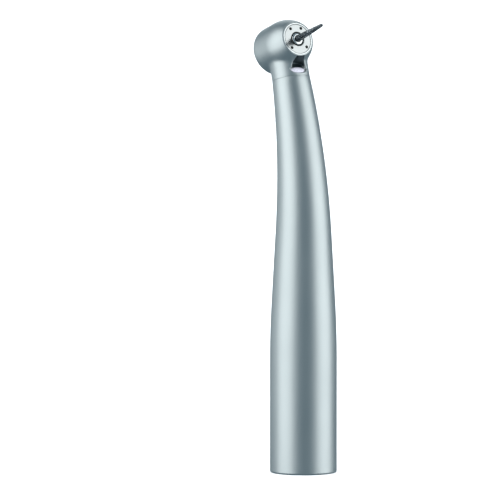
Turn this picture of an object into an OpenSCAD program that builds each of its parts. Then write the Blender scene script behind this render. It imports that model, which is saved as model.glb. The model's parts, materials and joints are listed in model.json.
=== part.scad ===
// Air turbine dental handpiece with push-button chuck and light port.
// Origin at the centre of the rear end face. +Z runs up the straight handle, and the
// handle bends in the XZ plane so that the head leans to -X while the bur points to +X and up.

/* [Handle] */
// Outside diameter of the straight rear part of the handle
handle_d = 16.2; // [16:0.1:17]
// Outside diameter of the handle where it meets the head's neck
neck_d = 9.15; // [9.1:0.05:9.4]
// Length of the straight rear part, before the taper starts
straight_len = 33.5; // [32:0.5:36]
// How softly the taper begins, where 1 is a plain cone
taper_power = 1.05; // [1:0.01:1.2]
// Wall thickness of the sleeve
sleeve_wall = 0.55; // [0.5:0.05:0.6]
// Rounding of the sleeve's rear edge
rear_round = 0.5; // [0.2:0.1:0.5]

/* [Bend] */
// Height at which the handle starts to bend
bend_start = 58; // [56:1:60]
// Radius of the bend, measured on the handle's axis
bend_radius = 128; // [124:1:132]
// Angle between the neck and the straight handle
bend_angle = 16; // [15:0.5:17]
// Length of the straight neck, from the bend to the head's axis
neck_len = 10; // [9.6:0.1:11]
// Distance from the head's axis down the neck to the sleeve seam
seam_drop = 8.3; // [8.2:0.1:8.6]

/* [Head] */
// Angle of the bur above square to the straight handle
head_tilt = 20; // [19:0.5:21]
// Largest diameter of the head
head_d = 12.1; // [12:0.1:12.6]
// Length of the head, from the spray face to the rear rim
head_len = 11.6; // [11.6:0.1:12]
// Distance from the spray face back to the neck's axis
face_to_neck = 5.55; // [5.5:0.05:5.7]
// Diameter of the head where its shoulder meets the spray face
rim_d = 8.6; // [8.5:0.1:8.8]
// Length of the rounded shoulder behind the rim
shoulder_len = 5.4; // [5.2:0.1:5.8]
// Diameter of the head at its rear end
head_rear_d = 10; // [10:0.1:10.4]
// Length of the rounding of the head's rear edge
head_rear_round = 1.6; // [1.2:0.1:1.8]
// Radius of the circle that the spray holes lie on
spray_circle_r = 3; // [2.8:0.1:3.1]
// Diameter of a spray hole
spray_hole_d = 0.56; // [0.4:0.02:0.6]

/* [Turbine] */
// Outside diameter of the impeller
impeller_d = 8.8; // [8.4:0.1:8.8]
// Number of impeller blades
blade_count = 9; // [7:1:10]
// Number of balls in each bearing
ball_count = 7; // [6:1:7]
// Travel of the push button
button_travel = 0.7; // [0.6:0.05:0.7]

/* [Bur] */
// Diameter of the bur's shank
shank_d = 1.6; // [1.58:0.01:1.6]
// How far the bur stands out of the spray face
bur_reach = 11.2; // [9:0.1:14]
// Diameter of the cutter at its thick end
cutter_d = 1.58; // [1.2:0.02:1.58]
// Diameter of the cutter at its tip
cutter_tip_d = 0.74; // [0.6:0.02:1]

/* [Light] */
// Diameter of the lens
lens_d = 3.3; // [3.1:0.1:3.3]
// Tilt of the lens from the neck's axis towards the bur
lens_tilt = 40; // [39:1:42]

/* [Rear socket] */
// Diameter of the entry bore
entry_d = 10.8; // [10.6:0.1:10.8]
// Depth of the entry bore
entry_depth = 6.3; // [6.1:0.1:6.5]
// Diameter of the bore that the plug's seals run in
seal_d = 8.4; // [8:0.1:8.4]
// Depth at which the seal bore ends
seal_end = 19; // [18.5:0.1:19.5]
// Diameter of the nose bore
nose_d = 2.9; // [2.7:0.1:3]
// Depth at which the nose bore ends
nose_end = 24.5; // [24:0.1:25]

/* [Hidden] */
$fn = 48;

// Cut overlap, so that a cutting shape always runs past the face it opens
eps = 0.1;

// Handle's axis: a straight run, an arc towards -X, and the straight neck
handle_r = handle_d / 2;
neck_r = neck_d / 2;
bend_len = bend_radius * bend_angle * PI / 180;
head_s = bend_start + bend_len + neck_len;
seam_s = head_s - seam_drop;

function lean(s) = min(max((s - bend_start) / bend_radius * 180 / PI, 0), bend_angle);
function past_bend(s) = max(s - bend_start - bend_len, 0);
function axis_point(s) = [
    -bend_radius * (1 - cos(lean(s))) - past_bend(s) * sin(lean(s)),
    0,
    min(s, bend_start) + bend_radius * sin(lean(s)) + past_bend(s) * cos(lean(s))
];
// A point beside the axis: fwd is towards the bur's side, side is along +Y
function beside(s, fwd, side) =
    axis_point(s) + [fwd * cos(lean(s)), side, fwd * sin(lean(s))];
function ring(s, r, fwd, side, sides) = [
    for (k = [0 : sides - 1])
        beside(s, fwd + r * cos(360 * k / sides), side + r * sin(360 * k / sides))
];

// Outside radius of the handle at a distance along its axis
function taper(s) = max(s - straight_len, 0) / (seam_s - straight_len);
function handle_radius(s) = handle_r - (handle_r - neck_r) * pow(taper(s), taper_power);
function steps(from, to, count) = [for (i = [0 : count]) from + (to - from) * i / count];

// Head: its own frame has z along the bur, zero at the spray face, and x down towards the handle
head_r = head_d / 2;
rim_r = rim_d / 2;
head_rear_r = head_rear_d / 2;
head_centre = axis_point(head_s);
bur_direction = [cos(head_tilt), 0, sin(head_tilt)];
face_centre = head_centre + face_to_neck * bur_direction;
rim_bevel = 0.25;
shoulder_drop = head_r - rim_r;
shoulder_radius = (pow(shoulder_len, 2) + pow(shoulder_drop, 2)) / (2 * shoulder_drop);
shoulder_angle = asin(shoulder_len / shoulder_radius);

// Turbine stations along the head's axis, the rear ones counted from the head's rear end
plate_r = 3.68;
plate_back = -0.9;
plate_front = -0.05;
plate_hole_r = 1.76;
spray_channel_r = [2.6, 3.3];
spray_channel_back = -1.4;
front_wall_back = -1.7;
front_wall_hole_r = 2;
bearing_w = 2.38;
bearing_r = 3.175;
bearing_seat_r = 3.25;
outer_race_bore_r = 2.69;
inner_race_r = 2.08;
press_gap = 0.005;
front_bearing_z = -3.11;
rear_bearing_z = 3.46 - head_len;
chamber_front = front_bearing_z - bearing_w / 2;
chamber_r = impeller_d / 2 + 0.2;
cap_r = 4.7;
cap_front = rear_bearing_z + bearing_w / 2;
cap_seat_back = 2.22 - head_len;
cap_web_back = 1.8 - head_len;
cap_web_hole_r = 2.3;
cap_lip_front = 0.42 - head_len;
cap_lip_r = 3.12;
cap_back = 0.05 - head_len;
cap_ring_z = 0.95 - head_len;
cap_ring_centre_r = 4.51;
cap_ring_section_r = 0.21;
cavity_r = 3.62;
spindle_r = 1.585;
spindle_bore_r = 1.15;
ball_r = 0.5;
ball_pitch_r = 2.385;
raceway_r = 0.53;
o_ring_r = 0.32;
o_ring_groove_r = 3.85;
o_ring_groove_half_w = 0.45;
collet_front = -2.15;
collet_back = 3.6 - head_len;
collet_floor = 4 - head_len;
collet_r = 1.1;
plunger_r = 0.6;
plunger_head_front = 2.18 - head_len;
plunger_back = 1.8 - head_len;
button_gap = 0.25;
button_stem_end = plunger_back - button_gap;
nested_spring_h = 0.35;
button_flange_front = cap_web_back - nested_spring_h - button_travel;
button_crown = -0.32 - head_len;
spindle_back = 2.1 - head_len;
spindle_wall_front = 3.5 - head_len;
spindle_wall_back = 2.9 - head_len;

// Bur
shank_r = shank_d / 2;
shank_end = 4.5 - head_len;
cutter_start = 1.6;
flute_count = 6;
cross_cut_count = 8;

// Light port: the lens lies in a scoop under the rim, on the bur's side of the neck
lens_r = lens_d / 2;
lens_fwd = 3.3;
lens_drop = 6.8;
lens_depth = 0.5;
lens_gap = 0.02;
scoop_fwd = 2.93;
scoop_drop = 7.08;
scoop_tilt = 58;
scoop_r = 1.75;
scoop_run = [-2, 5.5];
scoop_front = -0.35;

// Neck: round under the barrel, widened where it meets it, with a spigot for the sleeve
flare_drop = 5.7;
flare_len = 2.3;
flare_top_r = neck_r + 0.4;
neck_bore_r = 3.45;
neck_bore_top = 7.2;
spigot_r = neck_r - sleeve_wall - 0.08;
spigot_len = 3.4;

// Tubes and light guide: place in the neck, spread at the rear, outside and inside radius
spread_start = 27;
spread_end = 78;
drive_air = [-0.8, 2, 2.25, 1.1, 0.85];
chip_air = [-0.9, -2.4, 2, 0.65, 0.45];
water = [-2.4, -1, 2, 0.55, 0.35];
light = [2.3, 0, 2.326, 0.95, 0];
tube_end_drop = neck_bore_top + 0.4;
guide_end_drop = neck_bore_top + 0.3;
tube_sides = 12;
guide_sides = 14;

// Ways from the neck's bore to the turbine and to the lens: forward and side place, radius and length
drive_way = [0.2, 2.9, 0.75, 4.6];
exhaust_way = [0.2, -2.5, 1.1, 4.6];
light_way = [light[0], light[1], light[3], 1.5];

// Rear socket
sleeve_bore_r = handle_r - sleeve_wall;
core_r = sleeve_bore_r - 0.1;
core_waist_r = 6.75;
core_waist = [7.4, 18.9];
core_waist_slope = 0.6;
core_tail_r = 6;
core_top = 26.5;
core_chamfer = 0.4;
entry_mouth = 0.35;
nut_len = 2.25;
nut_gap = 0.05;
tube_seat = 21;
tube_seat_gap = 0.2;
exhaust_angles = [40, 70, 160, 290, 320];
exhaust_circle_r = 5.05;
exhaust_hole_r = 0.6;
latch_z = 3.2;
latch_w = 1;
latch_groove_depth = 0.75;
core_groove_z = 23.05;
core_groove_half_w = 0.45;
core_ring_r = 0.36;
ring_gap = 0.01;

module at_head() translate(face_centre) rotate([0, 90 - head_tilt, 0]) children();
module at_neck() translate(head_centre) rotate([0, -bend_angle, 0]) children();
module at_lens() at_neck() translate([lens_fwd, 0, -lens_drop]) rotate([0, lens_tilt, 0]) children();

// A plain ring between two radii and two heights
module collar(r_in, r_out, from, to) {
    rotate_extrude() translate([r_in, from]) square([r_out - r_in, to - from]);
}

// A ring of round section
module seal_ring(centre_r, section_r, z) {
    rotate_extrude() translate([centre_r, z]) circle(section_r);
}

// Two triangles for each four-sided patch between ring a and ring b
function patches(a, b, sides) = [
    for (k = [0 : sides - 1], half = [0, 1])
        let (k2 = (k + 1) % sides)
        half == 0 ? [a + k, b + k, b + k2] : [a + k, b + k2, a + k2]
];

// A solid rod through a list of rings
module rod(rings) {
    sides = len(rings[0]);
    last = len(rings) - 1;
    points = [for (r = rings, p = r) p];
    walls = [for (i = [0 : last - 1], f = patches(i * sides, (i + 1) * sides, sides)) f];
    end = last * sides;
    first_cap = [for (k = [1 : sides - 2]) [0, k, k + 1]];
    last_cap = [for (k = [1 : sides - 2]) [end, end + k + 1, end + k]];
    polyhedron(points, concat(walls, first_cap, last_cap));
}

// A hollow pipe between a list of outer rings and a list of inner rings
module pipe(outer, inner) {
    sides = len(outer[0]);
    rings = concat(outer, [for (i = [len(inner) - 1 : -1 : 0]) inner[i]]);
    count = len(rings);
    points = [for (r = rings, p = r) p];
    polyhedron(points, [for (i = [0 : count - 1],
        f = patches(i * sides, (i + 1) % count * sides, sides)) f]);
}

// A line that runs from the core to the neck: spread wide at the rear, close together in the neck
function ease(t) = t * t * (3 - 2 * t);
function spread(s, rear) = 1 + (rear - 1)
    * (1 - ease(min(max((s - spread_start) / (spread_end - spread_start), 0), 1)));
function line_ring(s, line, r, sides) =
    ring(s, r, line[0] * spread(s, line[2]), line[1] * spread(s, line[2]), sides);
function line_stations(from, to) = concat([from], steps(spread_start, to, 20));

module service_tube(line) {
    stations = line_stations(tube_seat + tube_seat_gap, head_s - tube_end_drop);
    pipe([for (s = stations) line_ring(s, line, line[3], tube_sides)],
        [for (s = stations) line_ring(s, line, line[4], tube_sides)]);
}

// Outer sleeve of the handle: a turned rear tube that runs into the bent taper
module handle_sleeve() {
    sides = 40;
    root = straight_len - 0.5;
    inset = 0.08;
    stations = concat(steps(straight_len + 0.4, bend_start, 9),
        steps(bend_start + bend_len / 9, seam_s, 10));
    outer = concat([ring(root, handle_r - inset, 0, 0, sides)],
        [for (s = stations) ring(s, handle_radius(s), 0, 0, sides)]);
    inner = concat([ring(root, sleeve_bore_r + inset, 0, 0, sides)],
        [for (s = stations) ring(s, handle_radius(s) - sleeve_wall, 0, 0, sides)]);
    color("#b9c6ca") {
        rotate_extrude() polygon(concat(
            [[sleeve_bore_r, straight_len], [sleeve_bore_r, 0]],
            [for (a = [-90 : 15 : 0])
                [handle_r - rear_round + rear_round * cos(a), rear_round + rear_round * sin(a)]],
            [[handle_r, straight_len]]));
        pipe(outer, inner);
    }
}

// Outline of the head: rim, shoulder, barrel and rounded rear edge
function head_outline() = concat(
    [[0, 0], [rim_r - rim_bevel, 0]],
    [for (a = steps(shoulder_angle - 1, 0, 10)) [
        head_r - shoulder_radius * (1 - cos(a)),
        -shoulder_len + shoulder_radius * sin(a)
    ]],
    [for (a = steps(0, 90, 6)) [
        head_rear_r + (head_r - head_rear_r) * cos(a),
        -head_len + head_rear_round * (1 - sin(a))
    ]],
    [[0, -head_len]]
);

// Groove round a bearing seat for the ring that cushions the bearing
module bearing_groove(z) {
    collar(bearing_seat_r - eps, o_ring_groove_r, z - o_ring_groove_half_w, z + o_ring_groove_half_w);
}

// Everything the housing is hollowed for, along the head's axis
module head_cavity() {
    collar(0, plate_r + 0.04, plate_back, eps);
    collar(spray_channel_r[0], spray_channel_r[1], spray_channel_back, plate_back + eps);
    collar(0, front_wall_hole_r, front_wall_back - eps, plate_back + eps);
    collar(0, bearing_seat_r, chamber_front - eps, front_wall_back);
    bearing_groove(front_bearing_z);
    collar(0, chamber_r, cap_front - eps, chamber_front);
    collar(0, cap_r + 0.05, -head_len - eps, cap_front);
}

// The scoop between the lens and the back of the rim, and the seat that the lens sits in
module light_port() {
    room = 10;
    seat_depth = lens_depth + lens_gap;
    intersection() {
        at_neck() translate([scoop_fwd, 0, -scoop_drop]) rotate([0, scoop_tilt, 0])
            translate([0, 0, scoop_run[0]]) cylinder(h = scoop_run[1] - scoop_run[0], r = scoop_r);
        at_lens() translate([-room, -room, 0]) cube(2 * room);
        at_head() translate([-room, -room, scoop_front - 2 * room]) cube(2 * room);
    }
    at_lens() translate([0, 0, -seat_depth]) cylinder(h = seat_depth + eps, r = lens_r + lens_gap);
}

// Drilled ways from the neck's bore into the turbine chamber and up to the lens
module neck_ways() {
    at_neck() for (way = [drive_way, exhaust_way, light_way])
        translate([way[0], way[1], -neck_bore_top - 3 * eps]) cylinder(h = way[3], r = way[2]);
}

module head_housing() {
    color("#b9c6ca") difference() {
        union() {
            at_head() rotate_extrude() polygon(head_outline());
            at_neck() {
                translate([0, 0, -seam_drop]) cylinder(h = seam_drop, r = neck_r);
                translate([0, 0, -flare_drop]) cylinder(h = flare_len, r1 = neck_r, r2 = flare_top_r);
                translate([0, 0, -seam_drop - spigot_len]) cylinder(h = spigot_len + eps, r = spigot_r);
            }
        }
        at_head() head_cavity();
        at_neck() translate([0, 0, -seam_drop - spigot_len - eps])
            cylinder(h = seam_drop + spigot_len + eps - neck_bore_top, r = neck_bore_r);
        neck_ways();
        light_port();
    }
}

// Disc that closes the spray channel, with its spray holes towards and away from the neck
module spray_plate() {
    chamfer = 0.14;
    color("#d3dadc") at_head() difference() {
        rotate_extrude() polygon([
            [plate_hole_r, plate_back], [plate_r, plate_back], [plate_r, plate_front - chamfer],
            [plate_r - chamfer, plate_front], [plate_hole_r + chamfer, plate_front],
            [plate_hole_r, plate_front - chamfer]
        ]);
        for (a = [45, -45, 150, -150])
            rotate(a) translate([spray_circle_r, 0, plate_back - eps])
                cylinder(h = plate_front - plate_back + 2 * eps, d = spray_hole_d, $fn = 24);
    }
}

// Screwed cap that holds the rear bearing and keeps the button in
module back_cap() {
    pin_hole_r = 0.34;
    pin_hole_depth = 0.5;
    pin_circle_r = 3.92;
    groove_floor_r = cap_ring_centre_r - cap_ring_section_r - 0.02;
    groove_half_w = 0.25;
    color("#a9b5b9") at_head() difference() {
        collar(0, cap_r, cap_back, cap_front);
        collar(0, bearing_seat_r, cap_seat_back, cap_front + eps);
        bearing_groove(rear_bearing_z);
        collar(0, cap_web_hole_r, cap_web_back - eps, cap_seat_back + eps);
        collar(0, cavity_r, cap_lip_front, cap_web_back);
        collar(0, cap_lip_r, cap_back - eps, cap_lip_front + eps);
        collar(groove_floor_r, cap_r + eps, cap_ring_z - groove_half_w, cap_ring_z + groove_half_w);
        for (a = [45 : 90 : 315])
            rotate(a) translate([pin_circle_r, 0, cap_back - eps])
                cylinder(h = pin_hole_depth + eps, r = pin_hole_r, $fn = 24);
    }
}

module cap_o_ring() {
    color("#2b2d2f") at_head() seal_ring(cap_ring_centre_r, cap_ring_section_r, cap_ring_z);
}

// Push button: domed head, flange under the cap's lip and a stem that reaches the chuck
module push_button() {
    button_r = 3.05;
    stem_r = 0.9;
    flange_r = cavity_r - 0.07;
    flange_back = cap_lip_front + 0.03;
    dome = 0.3;
    dome_radius = (pow(button_r, 2) + pow(dome, 2)) / (2 * dome);
    dome_angle = asin(button_r / dome_radius);
    color("#c3ccd0") at_head() rotate_extrude() polygon(concat(
        [[0, button_stem_end], [stem_r, button_stem_end], [stem_r, button_flange_front],
            [flange_r, button_flange_front], [flange_r, flange_back], [button_r, flange_back]],
        [for (a = steps(dome_angle, 0, 6))
            [dome_radius * sin(a), button_crown + dome_radius * (1 - cos(a))]]
    ));
}

// Cone-shaped coil under the button, so that its turns nest when it is pressed
module button_spring() {
    turns = 3;
    per_turn = 16;
    wire_r = 0.12;
    wide_r = 3.3;
    narrow_r = 1.3;
    seat_gap = 0.02;
    low = cap_web_back - wire_r - seat_gap;
    high = button_flange_front + wire_r + seat_gap;
    rings = [for (i = [0 : turns * per_turn])
        let (t = i / (turns * per_turn), a = 360 * i / per_turn,
            r = wide_r + (narrow_r - wide_r) * t, z = low + (high - low) * t)
        [for (k = [0 : 5]) let (across = r + wire_r * cos(60 * k))
            [across * cos(a), across * sin(a), z - wire_r * sin(60 * k)]]
    ];
    color("#9aa3a8") at_head() rod(rings);
}

// Ball bearing pieces, drawn round the middle of the bearing
module race(r_in, r_out) {
    rotate_extrude() difference() {
        translate([r_in, -bearing_w / 2]) square([r_out - r_in, bearing_w]);
        translate([ball_pitch_r, 0]) circle(raceway_r);
    }
}

module ball_set(r) {
    for (i = [0 : ball_count - 1])
        rotate(360 * i / ball_count) translate([ball_pitch_r, 0, 0]) sphere(r, $fn = 32);
}

module cage() {
    cage_r = [2.2, 2.57];
    cage_back = -0.9;
    cage_front = 0.35;
    difference() {
        collar(cage_r[0], cage_r[1], cage_back, cage_front);
        ball_set(raceway_r);
    }
}

module outer_race() race(outer_race_bore_r, bearing_r);
module inner_race() race(spindle_r + press_gap, inner_race_r);
module cushion_ring() seal_ring(bearing_r + o_ring_r + ring_gap, o_ring_r, 0);
module at_bearing(z) at_head() translate([0, 0, z]) children();

module front_outer_race() { color("#8d979c") at_bearing(front_bearing_z) outer_race(); }
module front_inner_race() { color("#8d979c") at_bearing(front_bearing_z) inner_race(); }
module front_balls() { color("#e3e2dc") at_bearing(front_bearing_z) ball_set(ball_r); }
module front_cage() { color("#b28a4e") at_bearing(front_bearing_z) cage(); }
module rear_outer_race() { color("#8d979c") at_bearing(rear_bearing_z) outer_race(); }
module rear_inner_race() { color("#8d979c") at_bearing(rear_bearing_z) inner_race(); }
module rear_balls() { color("#e3e2dc") at_bearing(rear_bearing_z) ball_set(ball_r); }
module rear_cage() { color("#b28a4e") at_bearing(rear_bearing_z) cage(); }

module front_race_o_ring() { color("#2b2d2f") at_bearing(front_bearing_z) cushion_ring(); }
module rear_race_o_ring() { color("#2b2d2f") at_bearing(rear_bearing_z) cushion_ring(); }

// Dished washer: its inner edge starts at a height, and its outer edge lies a rise above it
module dished_washer(r_in, r_out, z, rise, thickness) {
    rotate_extrude() polygon([
        [r_in, z], [r_out, z + rise], [r_out, z + rise - thickness], [r_in, z - thickness]
    ]);
}

// Dished washer that loads the front bearing
module preload_washer() {
    washer_r = [2.35, 3.1];
    seat_gap = 0.02;
    dish = -0.07;
    thickness = 0.11;
    color("#9aa3a8") at_head()
        dished_washer(washer_r[0], washer_r[1], front_wall_back - seat_gap, dish, thickness);
}

// Hollow turbine shaft: narrow nose, chuck bore, wall for the plunger and spring recess
module spindle() {
    nose_front = 0.16;
    nose_back = -1.25;
    nose_r = 1.47;
    nose_tip_r = 0.95;
    nose_slope = 0.24;
    shoulder = -1.5;
    bore_front = -1.6;
    shank_gap = 0.06;
    spring_recess_r = 1.25;
    color("#c8d0d3") at_head() difference() {
        rotate_extrude() polygon([
            [0, nose_front], [nose_tip_r, nose_front], [nose_r, nose_front - nose_slope],
            [nose_r, nose_back], [spindle_r, shoulder], [spindle_r, spindle_back], [0, spindle_back]
        ]);
        collar(0, shank_r + shank_gap, bore_front - eps, nose_front + eps);
        collar(0, spindle_bore_r, spindle_wall_front, bore_front);
        collar(0, plunger_r + shank_gap, spindle_wall_back - eps, spindle_wall_front + eps);
        collar(0, spring_recess_r, spindle_back - eps, spindle_wall_back);
    }
}

// Turbine wheel: hub, web and curved blades
module impeller() {
    hub_r = 2.25;
    side_gap = 0.02;
    hub_front = chamber_front - side_gap;
    hub_back = cap_front + side_gap;
    web_r = 3;
    web_half_t = 0.2;
    blade_gap = 0.3;
    blade_front = chamber_front - blade_gap;
    blade_back = cap_front + blade_gap;
    middle = (blade_front + blade_back) / 2;
    blade_arc_r = 1.6;
    blade_arc_centre = [3.4, -1.2];
    blade_t = 0.4;
    color("#c9b27a") at_head() difference() {
        union() {
            collar(0, hub_r, hub_back, hub_front);
            collar(0, web_r, middle - web_half_t, middle + web_half_t);
            for (i = [0 : blade_count - 1]) rotate(360 * i / blade_count)
                translate([0, 0, blade_back]) linear_extrude(blade_front - blade_back) intersection() {
                    difference() {
                        circle(impeller_d / 2);
                        circle(hub_r - 0.1);
                    }
                    difference() {
                        translate(blade_arc_centre) circle(blade_arc_r);
                        translate(blade_arc_centre - [0, blade_t]) circle(blade_arc_r);
                    }
                }
        }
        collar(0, spindle_r + press_gap, hub_back - eps, hub_front + eps);
    }
}

// Slit tube that grips the bur's shank
module collet() {
    nose_r = 0.98;
    nose_len = 0.5;
    grip_gap = 0.02;
    slit_w = 0.2;
    slit_back = -5.5;
    color("#b7bfc3") at_head() difference() {
        rotate_extrude() polygon([
            [0, collet_back], [collet_r, collet_back], [collet_r, collet_front - nose_len],
            [nose_r, collet_front], [0, collet_front]
        ]);
        collar(0, shank_r + grip_gap, collet_floor, collet_front + eps);
        collar(0, plunger_r + press_gap, collet_back - eps, collet_floor + eps);
        for (a = [0, 120, 240])
            rotate(a) translate([0, -slit_w / 2, slit_back]) cube([collet_r + eps, slit_w, -slit_back]);
    }
}

// Rod behind the collet that the button pushes
module release_plunger() {
    flat_r = 1.1;
    color("#a8b0b4") at_head() {
        translate([0, 0, plunger_head_front - eps])
            cylinder(h = collet_floor - plunger_head_front + eps, r = plunger_r);
        collar(0, flat_r, plunger_back, plunger_head_front);
    }
}

// Pair of dished washers that keep the chuck closed
module chuck_springs() {
    washer_r = [0.7, 1.15];
    thickness = 0.1;
    dish = 0.24;
    seat_gap = 0.01;
    color("#9aa3a8") at_head() {
        dished_washer(washer_r[0], washer_r[1], spindle_wall_back - seat_gap, -dish, thickness);
        dished_washer(washer_r[0], washer_r[1], plunger_head_front + seat_gap + thickness, dish, thickness);
    }
}

// Bur: steel shank with a cross-cut tapered cutter brazed to its end
module bur_shank() {
    chamfer = 0.1;
    neck_in = 0.2;
    color("#8b9195") at_head() rotate_extrude() polygon([
        [0, shank_end], [shank_r - chamfer, shank_end], [shank_r, shank_end + chamfer],
        [shank_r, cutter_start - neck_in], [cutter_d / 2, cutter_start], [0, cutter_start]
    ]);
}

module bur_cutter() {
    tip_r = cutter_tip_d / 2;
    base_r = cutter_d / 2;
    tip_start = bur_reach - tip_r;
    length = tip_start - cutter_start;
    slope = atan((base_r - tip_r) / length);
    flute_w = 0.2;
    flute_depth = 0.11;
    cut_w = 0.16;
    cut_depth = 0.09;
    helix = 5;
    run_in = 0.4;
    color("#5c6063") at_head() difference() {
        rotate_extrude() polygon(concat(
            [[0, cutter_start], [base_r, cutter_start]],
            [for (a = steps(0, 90, 5)) [tip_r * cos(a), tip_start + tip_r * sin(a)]]
        ));
        for (i = [0 : flute_count - 1]) rotate(360 * i / flute_count)
            translate([(base_r + tip_r) / 2 - flute_depth, 0, cutter_start + length / 2])
                rotate([helix, -slope, 0]) translate([0, -flute_w / 2, run_in - length / 2])
                    cube([base_r, flute_w, length + 2 * run_in]);
        for (i = [1 : cross_cut_count])
            let (t = i / (cross_cut_count + 1), z = cutter_start + length * t,
                r = base_r + (tip_r - base_r) * t)
                collar(r - cut_depth, r + cut_w, z - cut_w / 2, z + cut_w / 2);
    }
}

// Lens with a low crown, looking at the bur's tip
module light_lens() {
    crown = 0.5;
    set_back = 0.02;
    crown_radius = (pow(lens_r, 2) + pow(crown, 2)) / (2 * crown);
    crown_angle = asin(lens_r / crown_radius);
    color("#eef1f3") at_lens() rotate_extrude() polygon(concat(
        [[0, -lens_depth], [lens_r, -lens_depth]],
        [for (a = steps(crown_angle, 0, 6))
            [crown_radius * sin(a), crown - set_back - crown_radius * (1 - cos(a))]]
    ));
}

// Fibre bundle from the lamp in the plug to the lens
module light_guide() {
    stations = line_stations(entry_depth + eps, head_s - guide_end_drop);
    color("#e6eaec") rod([for (s = stations) line_ring(s, light, light[3], guide_sides)]);
}

module drive_air_tube() { color("#aab3b7") service_tube(drive_air); }
module chip_air_tube() { color("#aab3b7") service_tube(chip_air); }
module water_tube() { color("#aab3b7") service_tube(water); }

// A drilled seat for one line in the top of the core
module line_seat(line, from) {
    line_gap = 0.03;
    translate([line[0] * line[2], line[1] * line[2], from])
        cylinder(h = core_top - from + eps, r = line[3] + line_gap);
}

// A slanted way from a line's seat down into the seal bore
module seal_port(line) {
    drop = 5;
    port_r = 0.34;
    reach_in = 0.4;
    out = norm([line[0], line[1]]) * line[2];
    slant = atan((out - seal_d / 2 + reach_in) / drop);
    rotate(atan2(line[1], line[0])) translate([out, 0, tube_seat + tube_seat_gap])
        rotate([0, 180 + slant, 0]) cylinder(h = drop + tube_seat_gap, r = port_r);
}

// Socket body that the hose's plug goes into
module connection_core() {
    drive_cross_r = 0.7;
    drive_cross_len = 4.5;
    color("#a3adb1") difference() {
        rotate_extrude() polygon([
            [0, 0], [core_tail_r, 0], [core_tail_r, nut_len + nut_gap], [core_r, nut_len + nut_gap],
            [core_r, core_waist[0] - core_waist_slope], [core_waist_r, core_waist[0]],
            [core_waist_r, core_waist[1]], [core_r, core_waist[1] + core_waist_slope],
            [core_r, core_top - core_chamfer], [core_r - core_chamfer, core_top], [0, core_top]
        ]);
        collar(0, entry_d / 2, -eps, entry_depth);
        translate([0, 0, -eps])
            cylinder(h = entry_mouth + eps, r1 = entry_d / 2 + entry_mouth + eps, r2 = entry_d / 2);
        collar(0, entry_d / 2 + latch_groove_depth, latch_z, latch_z + latch_w);
        collar(0, seal_d / 2, entry_depth - eps, seal_end);
        collar(0, nose_d / 2, seal_end - eps, nose_end);
        collar(core_waist_r, core_r + eps,
            core_groove_z - core_groove_half_w, core_groove_z + core_groove_half_w);
        line_seat(drive_air, tube_seat);
        line_seat(chip_air, tube_seat);
        line_seat(water, tube_seat);
        line_seat(light, entry_depth - eps);
        seal_port(chip_air);
        seal_port(water);
        rotate(atan2(drive_air[1], drive_air[0])) translate([0, 0, tube_seat + 1])
            rotate([0, 90, 0]) cylinder(h = drive_cross_len, r = drive_cross_r);
        for (a = exhaust_angles)
            rotate(a) translate([exhaust_circle_r, 0, entry_depth - eps])
                cylinder(h = core_top, r = exhaust_hole_r, $fn = 24);
    }
}

module core_o_ring() {
    color("#2b2d2f") seal_ring(core_waist_r + core_ring_r + ring_gap, core_ring_r, core_groove_z);
}

// Open spring ring that the plug clicks into
module latch_ring() {
    open_angle = 40;
    ring_t = 0.55;
    side_gap = 0.1;
    color("#8d979c") rotate(open_angle / 2) rotate_extrude(angle = 360 - open_angle)
        translate([entry_d / 2 + side_gap, latch_z + side_gap]) square([ring_t, latch_w - 2 * side_gap]);
}

// Threaded ring that holds the core in the sleeve, slotted for a spanner
module retaining_nut() {
    slot_w = 1.4;
    slot_depth = 0.9;
    slot_floor_r = 6.55;
    color("#98a3a8") difference() {
        collar(core_tail_r + nut_gap, sleeve_bore_r - nut_gap, 0, nut_len);
        for (a = [0 : 90 : 270])
            rotate(a) translate([slot_floor_r, -slot_w / 2, -eps])
                cube([sleeve_bore_r, slot_w, slot_depth + eps]);
    }
}

handle_sleeve();
head_housing();
spray_plate();
back_cap();
cap_o_ring();
push_button();
button_spring();
front_outer_race();
front_inner_race();
front_balls();
front_cage();
front_race_o_ring();
preload_washer();
rear_outer_race();
rear_inner_race();
rear_balls();
rear_cage();
rear_race_o_ring();
spindle();
impeller();
collet();
release_plunger();
chuck_springs();
bur_shank();
bur_cutter();
light_lens();
light_guide();
drive_air_tube();
chip_air_tube();
water_tube();
connection_core();
core_o_ring();
latch_ring();
retaining_nut();
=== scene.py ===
import json
import math

import bmesh
import bpy
from mathutils import Matrix, Vector


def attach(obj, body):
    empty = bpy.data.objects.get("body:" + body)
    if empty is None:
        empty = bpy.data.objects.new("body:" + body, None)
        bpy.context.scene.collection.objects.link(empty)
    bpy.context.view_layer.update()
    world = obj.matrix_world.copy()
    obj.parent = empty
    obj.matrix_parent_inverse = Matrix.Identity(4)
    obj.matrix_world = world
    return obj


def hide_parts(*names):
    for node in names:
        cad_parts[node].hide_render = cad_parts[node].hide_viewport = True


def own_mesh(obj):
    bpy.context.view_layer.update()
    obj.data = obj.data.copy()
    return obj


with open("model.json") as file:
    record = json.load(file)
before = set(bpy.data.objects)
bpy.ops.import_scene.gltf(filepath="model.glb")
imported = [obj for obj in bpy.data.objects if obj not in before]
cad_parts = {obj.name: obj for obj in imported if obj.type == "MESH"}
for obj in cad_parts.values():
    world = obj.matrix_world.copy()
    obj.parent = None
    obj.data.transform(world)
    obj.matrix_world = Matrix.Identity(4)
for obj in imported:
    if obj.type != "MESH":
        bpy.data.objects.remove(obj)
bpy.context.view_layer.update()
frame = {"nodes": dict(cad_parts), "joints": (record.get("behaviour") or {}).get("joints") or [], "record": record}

print("frame loaded:", len(frame["nodes"]), "nodes")

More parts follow.
